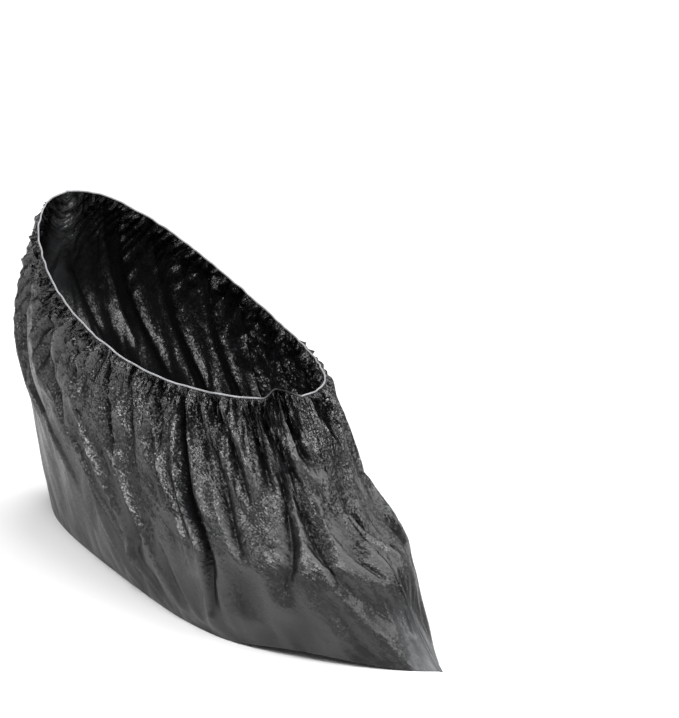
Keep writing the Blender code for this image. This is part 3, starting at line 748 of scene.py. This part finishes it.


def black_film():
    material, tree, shader = new_material("blown_embossed_polyethylene")
    shader.inputs["IOR"].default_value = 1.51
    sheer, worked, gathered, standing = (
        add_node(tree, "ShaderNodeAttribute", {"attribute_name": name}).outputs["Fac"]
        for name in ("sheer", "worked", "gathered", "standing")
    )
    place = add_node(tree, "ShaderNodeTexCoord").outputs["Object"]
    flat_place = add_node(tree, "ShaderNodeUVMap", {"uv_map": "flat"}).outputs["UV"]
    cloudy = add_node(
        tree, "ShaderNodeTexNoise", {}, {"Scale": 38.0, "Detail": 4.0}, [(place, "Vector")]
    ).outputs["Fac"]
    # Painted shade: the film is made to reflect less in a valley than on a crest.
    reflection_with_painted_shade = add_node(
        tree, "ShaderNodeMapRange", {}, {"To Min": SHINE_PAINTED_SHADE, "To Max": SHINE_CREST},
        [(standing, "Value")],
    ).outputs["Result"]
    tree.links.new(reflection_with_painted_shade, shader.inputs["Specular IOR Level"])
    # Painted shade: the colour runs from the shade colour in a valley to the film's black on a crest,
    # by how far the film stands out.
    crease_shade_painted = add_node(
        tree, "ShaderNodeMix", {"data_type": "RGBA"},
        {"A": linear(FILM_PAINTED_SHADE), "B": linear(FILM_BLACK)}, [(standing, "Factor")],
    ).outputs["Result"]
    # Painted shade: the gathers under the elastic are darkened towards the shade colour.
    gather_shade_painted = add_node(
        tree, "ShaderNodeMix", {"data_type": "RGBA"},
        {"B": linear(FILM_PAINTED_SHADE)}, [(gathered, "Factor"), (crease_shade_painted, "A")],
    ).outputs["Result"]
    # Painted light: where the two films lie close, a grey stands for light coming through them.
    colour = add_node(
        tree, "ShaderNodeMix", {"data_type": "RGBA"},
        {"B": linear(FILM_PAINTED_LIGHT_THROUGH)}, [(sheer, "Factor"), (gather_shade_painted, "A")],
    ).outputs["Result"]
    tree.links.new(colour, shader.inputs["Base Color"])
    rough = add_node(
        tree, "ShaderNodeMapRange", {}, {"To Min": ROUGH_LEAST, "To Max": ROUGH_MOST},
        [(cloudy, "Value")],
    ).outputs["Result"]
    gloss = add_node(
        tree, "ShaderNodeMath", {"operation": "MULTIPLY_ADD"}, {1: -WORKED_GLOSS},
        [(worked, 0), (rough, 2)],
    ).outputs["Value"]
    tree.links.new(gloss, shader.inputs["Roughness"])

    crumple = add_node(
        tree, "ShaderNodeTexVoronoi", {"feature": "SMOOTH_F1"},
        {"Scale": 1 / CRUMPLE_PITCH, "Smoothness": 0.15, "Randomness": 1.0}, [(place, "Vector")],
    ).outputs["Distance"]
    facets = add_node(
        tree, "ShaderNodeTexVoronoi", {"feature": "F1"},
        {"Scale": 1 / EMBOSS_PITCH, "Randomness": 1.0}, [(place, "Vector")],
    ).outputs["Color"]
    stretched = add_node(
        tree, "ShaderNodeMapping", {},
        {"Scale": (1 / PLEAT_PITCH, 1 / PLEAT_LENGTH, 1.0)}, [(flat_place, "Vector")],
    ).outputs["Vector"]
    pleats = add_node(
        tree, "ShaderNodeTexNoise", {}, {"Scale": 1.0, "Detail": 2.0}, [(stretched, "Vector")]
    ).outputs["Fac"]

    turned = add_node(
        tree, "ShaderNodeVectorRotate", {"rotation_type": "Z_AXIS"}, {"Angle": CREASE_TURN},
        [(flat_place, "Vector")],
    ).outputs["Vector"]
    drawn_out = add_node(
        tree, "ShaderNodeMapping", {},
        {"Scale": (1 / CREASE_PITCH, 1 / CREASE_LENGTH, 1.0)}, [(turned, "Vector")],
    ).outputs["Vector"]
    creases = add_node(
        tree, "ShaderNodeTexNoise", {}, {"Scale": 1.0, "Detail": 1.0}, [(drawn_out, "Vector")]
    ).outputs["Fac"]

    normal = None
    for height, share, distance in (
        (pleats, gathered, PLEAT_DEPTH),
        (crumple, worked, CRUMPLE_DEPTH),
        (creases, worked, CREASE_DEPTH),
    ):
        own_height = add_node(
            tree, "ShaderNodeMath", {"operation": "MULTIPLY"}, {}, [(height, 0), (share, 1)]
        ).outputs["Value"]
        links = [(own_height, "Height")] + ([(normal, "Normal")] if normal else [])
        normal = add_node(
            tree, "ShaderNodeBump", {}, {"Strength": 1.0, "Distance": distance}, links
        ).outputs["Normal"]
    around_zero = add_node(
        tree, "ShaderNodeVectorMath", {"operation": "SUBTRACT"}, {1: (0.5, 0.5, 0.5)}, [(facets, 0)]
    ).outputs["Vector"]
    reach = add_node(
        tree, "ShaderNodeMath", {"operation": "MULTIPLY"}, {1: EMBOSS_TILT}, [(worked, 0)]
    ).outputs["Value"]
    lean = add_node(
        tree, "ShaderNodeVectorMath", {"operation": "SCALE"}, {}, [(around_zero, 0), (reach, "Scale")]
    ).outputs["Vector"]
    leaning = add_node(
        tree, "ShaderNodeVectorMath", {"operation": "ADD"}, {}, [(normal, 0), (lean, 1)]
    ).outputs["Vector"]
    embossed = add_node(
        tree, "ShaderNodeVectorMath", {"operation": "NORMALIZE"}, {}, [(leaning, 0)]
    ).outputs["Vector"]
    tree.links.new(embossed, shader.inputs["Normal"])
    return material


film_finish = black_film()
print("film finish:", film_finish.name)

# %% The two sides of the bag
# One side of the folded sheet, laid flat: its length, and its depth with half of the sole.
SHEET_SIZE = (0.43, 0.23)
WALL_DEPTH, SOLE_DEPTH = 0.185, 0.045
STANDING_RANGE = 2.2 * MM
STANDING_ROUNDS = 60  # how often the film's surroundings are evened out
SHEER_GAP = 20 * MM  # the film is painted grey, for light coming through, where its two sides lie closer together than this
TOE_SHEER_START, TOE_SHEER_STRETCH = 0.72, 0.25  # in the front half, only low on the wall
REAR_SHEER = 0.25  # and in the rear half, only this much of it
HEEL_SHEER = 0.35  # film behind the heel stands clear of the shoe and is painted greyer, for light coming through
HEEL_SHEER_REACH, HEEL_SHEER_RISE = 0.07, 0.25
SHEER_CALM = 0.6  # grey film is less crumpled, by up to this share
WORKED_TOP = 1.1  # how crumpled the film is: this less the share down
LOW_WORKED, TOE_WORKED = 0.15, 0.25  # and at least this, with so much more at the toe
HEEL_WORKED, HEEL_WORKED_STRETCH = 0.5, 0.5  # at the heel only a part of it
GATHER_REACH, HEEL_GATHER_REACH, HEEL_GATHER_STRETCH = 0.085, 0.07, 0.4


def sheer_share():
    """The share of painted grey that stands for light through the film: max(0, 1 - gap / SHEER_GAP),
    cut down above the toes and in the rear half, and a little more behind the heel. Both sides have
    the same."""
    gap = np.abs(halves[OUTER_SIDE][..., 1] - halves[INNER_SIDE][..., 1])
    share = np.clip(1 - gap / SHEER_GAP, 0, 1)
    toe_low = np.clip((down_shares - TOE_SHEER_START) / TOE_SHEER_STRETCH, 0, 1)
    share[COLUMNS // 2 :, :WALL_ROWS] *= toe_low
    share[: COLUMNS // 2] *= REAR_SHEER
    heel_grey = HEEL_SHEER * np.exp(-((ALONG / HEEL_SHEER_REACH) ** 2))
    share[:, :WALL_ROWS] += heel_grey * np.clip(DOWN / HEEL_SHEER_RISE, 0, 1)
    share[:, WALL_ROWS:] = share[:, WALL_ROWS - 1 : WALL_ROWS]
    return share


def standing_share(side):
    """0 in a valley and 1 on a crest: how far the film stands out from its own surroundings."""
    outwards = directions(smooth_wall[side], side)[2]
    out = ((wall[side] - smooth_wall[side]) * outwards).sum(-1)[..., None]
    around = out
    for _ in range(STANDING_ROUNDS):
        around = around + spread(around)
    share = np.clip(0.5 + (out - around)[..., 0] / (2 * STANDING_RANGE), 0, 1)
    return np.concatenate([share, np.full((COLUMNS, SOLE_ROWS), 0.5)], axis=1)


def flat_places():
    """Where each point lies on the flat film: along * length, and down * depth to the fold. The
    heel part is sheared as its pleats are."""
    depth = np.concatenate([down_shares * WALL_DEPTH, WALL_DEPTH + sole_shares * SOLE_DEPTH])
    along, down = np.meshgrid(along_shares, depth, indexing="ij")
    shear = PLEAT_LEAN * (1 + np.cos(pi * along)) / 2 * down / WALL_DEPTH
    return np.stack([(along + shear) * SHEET_SIZE[0], down], axis=-1).reshape(-1, 2)


def point_attribute(mesh, name, values):
    """The same value on both layers of the film, one for each point of the grid."""
    attribute = mesh.attributes.new(name, "FLOAT", "POINT")
    attribute.data.foreach_set("value", np.tile(values.ravel(), 2).astype(np.float32))


all_rows = np.concatenate([down_shares, np.ones(SOLE_ROWS)])
columns_share = along_shares[:, None]
least_worked = LOW_WORKED + TOE_WORKED * columns_share**4
heel_part = HEEL_WORKED + (1 - HEEL_WORKED) * np.clip(columns_share / HEEL_WORKED_STRETCH, 0, 1)
worked_share = np.clip(WORKED_TOP - all_rows, least_worked, 1) * heel_part
# The gathered share sets the pleat bump and also the painted shade of the gathers under the elastic.
beside_heel = np.clip(1 - columns_share / HEEL_GATHER_STRETCH, 0, 1)
gathers_reach = GATHER_REACH + HEEL_GATHER_REACH * beside_heel
gathered_share = np.exp(-((all_rows / gathers_reach) ** GATHER_POWER))
sheer = sheer_share()

for side, name in ((OUTER_SIDE, "film_outer_side"), (INNER_SIDE, "film_inner_side")):
    mesh = sheet_mesh(name, halves[side], side, FILM_SHOWN, flat_places())
    # sheer is where the painted grey for light through the film goes; standing and gathered steer
    # painted shade.
    point_attribute(mesh, "sheer", sheer)
    point_attribute(mesh, "worked", worked_share * (1 - SHEER_CALM * sheer))
    point_attribute(mesh, "standing", standing_share(side))
    point_attribute(mesh, "gathered", gathered_share)
    film = add_piece(mesh, film_finish, ["film_body"])

# %% [markdown]
# ## The elastic
#
# A fine light-grey rubber thread runs in the film's edge and shows as a pale line round the
# mouth, except over the one big gather at the front, where black film is turned over it. It is a
# round section carried along the rim.

# %% The elastic thread
THREAD_RADIUS = 0.5 * MM
THREAD_CLEARANCE = 0.05 * MM
THREAD_SIDES = 10
THREAD_DARK, THREAD_LIGHT = "#6A6B6E", "#AEAFB2"
COVER_WIDTH = 20 * MM  # how far to each side of the pocket's middle film is turned over it
UP_ROW, UP_ROUNDS = 4, 40  # up runs from this row of the film to its edge, evened out


def covered_share():
    """1 where the film's turned edge hides the thread, over the pocket's mouth, else 0."""
    across = (along_shares - POCKET_ALONG) * SHARE_ALONG / COVER_WIDTH
    return np.concatenate([np.exp(-(across**6)), np.zeros(COLUMNS - 2)])


def thread_mesh(name):
    """Rings of radius r round the line: line + r (cos t * across + sin t * up)."""
    sides = THREAD_SIDES
    line = rim_loop(0)
    up = unit(rounded(unit(line - rim_loop(UP_ROW)), UP_ROUNDS))
    forward = unit(np.roll(line, -1, axis=0) - np.roll(line, 1, axis=0))
    across = unit(np.cross(forward, up))
    up = np.cross(across, forward)
    centre = line + up * (THREAD_RADIUS + THREAD_CLEARANCE)
    turn = np.linspace(0, 2 * pi, sides, endpoint=False)[None, :, None]
    rings = centre[:, None] + THREAD_RADIUS * (
        np.cos(turn) * across[:, None] + np.sin(turn) * up[:, None]
    )
    count = len(line)
    ring, step = np.meshgrid(np.arange(count), np.arange(sides), indexing="ij")
    after, beside = (ring + 1) % count, (step + 1) % sides
    quads = np.stack(
        [ring * sides + step, ring * sides + beside, after * sides + beside, after * sides + step],
        axis=-1,
    ).reshape(-1, 4)
    mesh = mesh_from(name, rings.reshape(-1, 3), quads)
    covered = mesh.attributes.new("covered", "FLOAT", "POINT")
    covered.data.foreach_set("value", np.repeat(covered_share(), sides).astype(np.float32))
    return mesh


def grey_elastic():
    material, tree, shader = new_material("natural_rubber_thread")
    shader.inputs["Roughness"].default_value = 0.6
    place = add_node(tree, "ShaderNodeTexCoord").outputs["Object"]
    worn = add_node(
        tree, "ShaderNodeTexNoise", {}, {"Scale": 160.0, "Detail": 3.0}, [(place, "Vector")]
    ).outputs["Fac"]
    colour = add_node(
        tree, "ShaderNodeMix", {"data_type": "RGBA"},
        {"A": linear(THREAD_DARK), "B": linear(THREAD_LIGHT)}, [(worn, "Factor")],
    ).outputs["Result"]
    covered = add_node(tree, "ShaderNodeAttribute", {"attribute_name": "covered"}).outputs["Fac"]
    seen_colour = add_node(
        # Over the pocket the thread is painted in the film's shade colour. It stands for black film
        # turned over it, darkened as painted shade.
        tree, "ShaderNodeMix", {"data_type": "RGBA"},
        {"B": linear(FILM_PAINTED_SHADE)}, [(covered, "Factor"), (colour, "A")],
    ).outputs["Result"]
    tree.links.new(seen_colour, shader.inputs["Base Color"])
    return material


add_piece(thread_mesh("elastic_thread"), grey_elastic(), ["elastic_band"])

# %% [markdown]
# ## Floor, light and camera
#
# A pale floor, broad soft lights and the viewing angle of a product picture: a long lens in front
# of the toe, to the outer side, a little above.

# %% The floor
def floor_material():
    material, tree, shader = new_material("matt_white_paper")
    shader.inputs["Base Color"].default_value = linear("#F6F6F6")
    shader.inputs["Roughness"].default_value = 0.9
    return material


FLOOR_HALF = 6.0
FLOOR_GAP = 0.1 * MM  # so that the film and the floor don't lie in one plane
corners = np.array([(-1, -1, 0), (1, -1, 0), (1, 1, 0), (-1, 1, 0)]) * FLOOR_HALF
corners[:, 2] = FLOOR_LEVEL - FLOOR_GAP
floor_mesh = mesh_from("floor", corners, np.array([[0, 1, 2, 3]]))
floor_mesh.materials.append(floor_material())
floor = bpy.data.objects.new("floor", floor_mesh)
bpy.context.scene.collection.objects.link(floor)
print("floor:", 2 * FLOOR_HALF, "m wide")

# %% The lights
def add_light(name, place, target, size, power):
    """A square area light that faces its target: its -Z axis is target - place."""
    light = bpy.data.lights.new(name, "AREA")
    light.size = size
    light.energy = power
    lamp = bpy.data.objects.new(name, light)
    bpy.context.scene.collection.objects.link(lamp)
    lamp.location = place
    lamp.rotation_euler = (Vector(target) - Vector(place)).to_track_quat("-Z", "Y").to_euler()
    return lamp


CENTRE = (0.10, 0.0, 0.06)
add_light("overhead_softbox", (0.6, -0.65, 1.3), CENTRE, 0.6, 14)
add_light("front_softbox", (1.5, -0.3, 1.1), CENTRE, 0.65, 11)
add_light("left_softbox", (-0.1, -1.35, 0.85), CENTRE, 0.4, 4.6)
sun = bpy.data.lights.new("ceiling_light", "SUN")
sun.angle = radians(70)
sun.energy = 3.1
ceiling = bpy.data.objects.new("ceiling_light", sun)
bpy.context.scene.collection.objects.link(ceiling)
ceiling.location = (0.12, 1.0, 1.5)
ceiling.rotation_euler = (-Vector(ceiling.location)).to_track_quat("-Z", "Y").to_euler()
world = bpy.data.worlds.new("studio")
world.use_nodes = True
sky = world.node_tree.nodes["Background"]
sky.inputs["Color"].default_value = (1, 1, 1, 1)
seen = add_node(world.node_tree, "ShaderNodeLightPath").outputs["Is Camera Ray"]
strength = add_node(
    world.node_tree, "ShaderNodeMapRange", {}, {"To Min": 0.20, "To Max": 1.0}, [(seen, "Value")]
).outputs["Result"]
world.node_tree.links.new(strength, sky.inputs["Strength"])
bpy.context.scene.world = world
bpy.context.scene.view_settings.view_transform = "Standard"

# %% The camera
IMAGE_WIDTH = 679
VIEW_TURN = radians(57)  # the camera looks from the toe's outer side
VIEW_RISE = radians(18)
CAMERA_DISTANCE = 2.4
FIT_POINT = np.array([-0.0435, 0.0, FLOOR_LEVEL])  # 24.5 mm in front of the heel seam's foot
PIXELS_A_METRE = 1654.8  # at the depth of that point
AIM_RIGHT, AIM_UP = 0.1502, 0.0832  # from that point to the picture's middle
SENSOR_WIDTH = 36.0

right = np.array([cos(VIEW_TURN), sin(VIEW_TURN), 0.0])
up = np.array([-sin(VIEW_TURN) * sin(VIEW_RISE), cos(VIEW_TURN) * sin(VIEW_RISE), cos(VIEW_RISE)])
towards = np.cross(right, up)
eye = FIT_POINT + AIM_RIGHT * right + AIM_UP * up + CAMERA_DISTANCE * towards

camera_data = bpy.data.cameras.new("camera")
camera_data.sensor_fit = "HORIZONTAL"
camera_data.sensor_width = SENSOR_WIDTH
camera_data.lens = PIXELS_A_METRE * CAMERA_DISTANCE / IMAGE_WIDTH * SENSOR_WIDTH
camera_data.dof.use_dof = False
camera = bpy.data.objects.new("camera", camera_data)
bpy.context.scene.collection.objects.link(camera)
axes = Matrix(np.stack([right, up, towards], axis=1).tolist())
camera.matrix_world = Matrix.Translation(eye.tolist()) @ axes.to_4x4()
bpy.context.scene.camera = camera
print("camera at", eye.round(3), "lens", round(camera_data.lens, 1), "mm")
